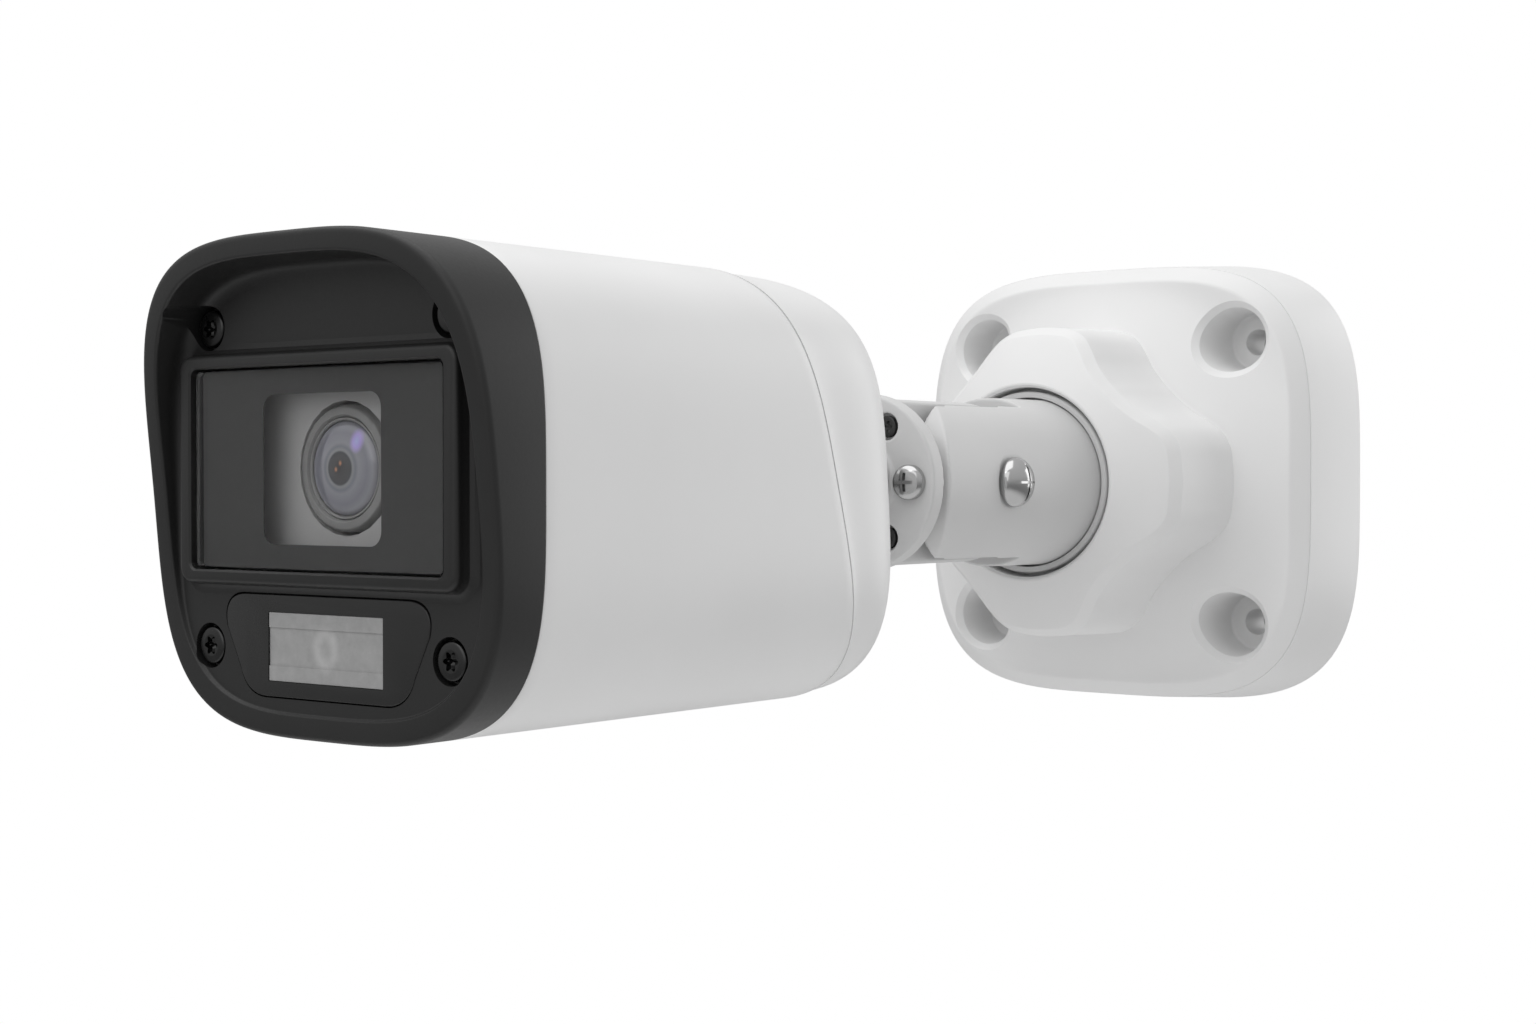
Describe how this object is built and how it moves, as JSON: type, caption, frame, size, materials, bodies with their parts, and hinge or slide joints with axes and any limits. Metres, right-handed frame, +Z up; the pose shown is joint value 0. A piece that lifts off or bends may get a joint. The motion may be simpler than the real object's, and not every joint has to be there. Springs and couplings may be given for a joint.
{
  "type": "bullet security camera",
  "caption": "Bullet security camera: white shell with a black hooded front, on a pan, tilt and roll wall bracket with a rounded square base.",
  "frame": {"origin": "centre of the base's flat wall face", "axes": "+Y points into the wall, -Y is where the camera looks at rest, +Z is up, +X is the side of the tilt screw's head"},
  "size_m": [0.067, 0.1774, 0.067],
  "materials": {
    "white_shell": "smooth satin white",
    "white_casting": "white powder coat, satin",
    "grey_casting": "pale grey powder coat, satin",
    "black_plastic": "fine matt moulded black",
    "window_glass": "polished, lightly tinted",
    "smoked_plastic": "smooth smoked black",
    "diffuser": "frosted translucent grey",
    "rubber": "matt",
    "bright_steel": "polished",
    "dark_screw": "black zinc",
    "bare_aluminium": "plain sheet",
    "circuit_board": "green solder mask",
    "grey_plastic": "fine matt grey",
    "lens_black": "black anodised look",
    "lens_glass": "coated glass with a violet bloom",
    "nylon": "natural nylon"
  },
  "bodies": {
    "base": {"base_cover": "white_casting", "base_skirt": "white_casting", "back_plate": "bare_aluminium", "cable_grommet": "rubber", "back_plate_screw_right": "bright_steel", "back_plate_screw_left": "bright_steel", "back_plate_screw_top": "bright_steel", "back_plate_screw_bottom": "bright_steel", "pan_bush": "nylon", "pan_lock_screw": "dark_screw"},
    "arm": {"arm": "grey_casting", "pan_ring": "grey_casting", "pan_retainer": "bright_steel", "pan_retainer_screw_1": "bright_steel", "pan_retainer_screw_2": "bright_steel", "pan_retainer_screw_3": "bright_steel", "tilt_screw": "bright_steel", "tilt_nut": "bright_steel"},
    "knuckle": {"knuckle": "grey_casting", "tilt_washer_left": "nylon", "tilt_washer_right": "nylon", "swivel_stud": "bright_steel", "swivel_nut": "bright_steel", "knuckle_dome_screw_right": "bright_steel", "knuckle_dome_screw_left": "bright_steel", "knuckle_screw_upper_right": "dark_screw", "knuckle_screw_upper_left": "dark_screw", "knuckle_screw_lower_left": "dark_screw", "knuckle_screw_lower_right": "dark_screw"},
    "camera": {"front_hood": "black_plastic", "window_glass": "window_glass", "window_gasket": "rubber", "window_mask": "black_plastic", "led_cover": "smoked_plastic", "led_diffuser": "diffuser", "hood_screw_top_left": "dark_screw", "hood_screw_top_right": "dark_screw", "hood_screw_bottom_left": "dark_screw", "hood_screw_bottom_right": "dark_screw", "housing": "white_shell", "rear_cover": "white_shell", "hood_seal": "rubber", "rear_seal": "rubber", "lens_shroud": "grey_plastic", "lens_barrel": "lens_black", "lens_front_element": "lens_glass", "lens_retaining_ring": "lens_black", "lens_holder": "lens_black", "image_sensor": "lens_black", "sensor_board": "circuit_board", "sensor_board_screw_left": "bright_steel", "sensor_board_screw_right": "bright_steel", "chassis": "bare_aluminium", "main_board": "circuit_board", "heat_sink": "bare_aluminium", "led_board": "circuit_board", "led_emitter": "diffuser"}
  },
  "joints": [
    {"name": "pan", "type": "hinge", "parent": "base", "child": "arm", "pos_m": [0, -0.04, 0], "axis": [0, 1, 0], "range_deg": [-180, 180]},
    {"name": "tilt", "type": "hinge", "parent": "arm", "child": "knuckle", "pos_m": [0, -0.0625, 0], "axis": [1, 0, 0], "range_deg": [0, 90]},
    {"name": "roll", "type": "hinge", "parent": "knuckle", "child": "camera", "pos_m": [0, -0.084, 0], "axis": [0, 1, 0], "range_deg": [-180, 180]}
  ]
}
